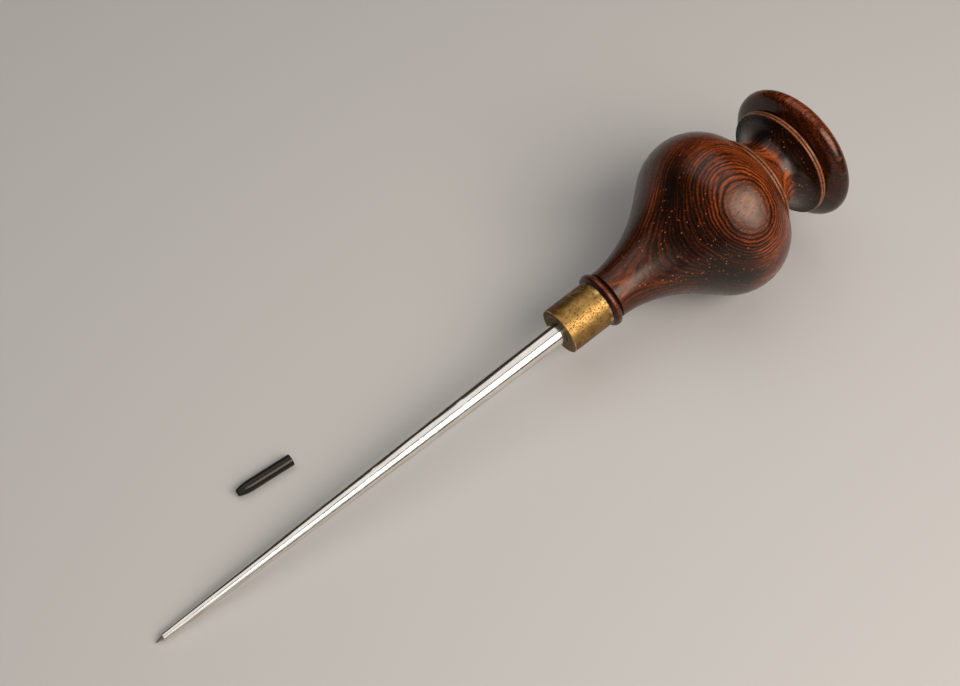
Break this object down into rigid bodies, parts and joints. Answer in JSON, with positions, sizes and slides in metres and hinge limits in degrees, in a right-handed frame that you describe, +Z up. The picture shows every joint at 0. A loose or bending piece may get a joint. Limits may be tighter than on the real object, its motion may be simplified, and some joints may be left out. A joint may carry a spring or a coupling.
{
  "type": "scratch awl",
  "caption": "Scratch awl with a turned hardwood handle, a brass ferrule, a tapered round steel blade and a loose black tip guard lying beside the blade.",
  "frame": {"origin": "on the bench, under the middle of the awl's length", "axes": "+X from the blade's point towards the pommel, +Z up from the bench"},
  "size_m": [0.1708, 0.0376, 0.0376],
  "materials": {
    "hardwood": "figured red-brown hardwood, satin polish",
    "brass": "aged brass, fine turning marks and small pits",
    "steel": "polished, finely drawn along the taper",
    "adhesive": "cured amber epoxy",
    "black_vinyl": "glossy black soft vinyl"
  },
  "bodies": {
    "awl": {"handle": "hardwood", "ferrule": "brass", "blade": "steel", "tang_epoxy": "adhesive"},
    "guard": {"tip_guard": "black_vinyl"}
  },
  "joints": [
    {"name": "guard_slide", "type": "slide", "parent": "awl", "child": "guard", "axis": [0.9996, -0.0297, 0], "range_m": [0, 0.008]}
  ]
}
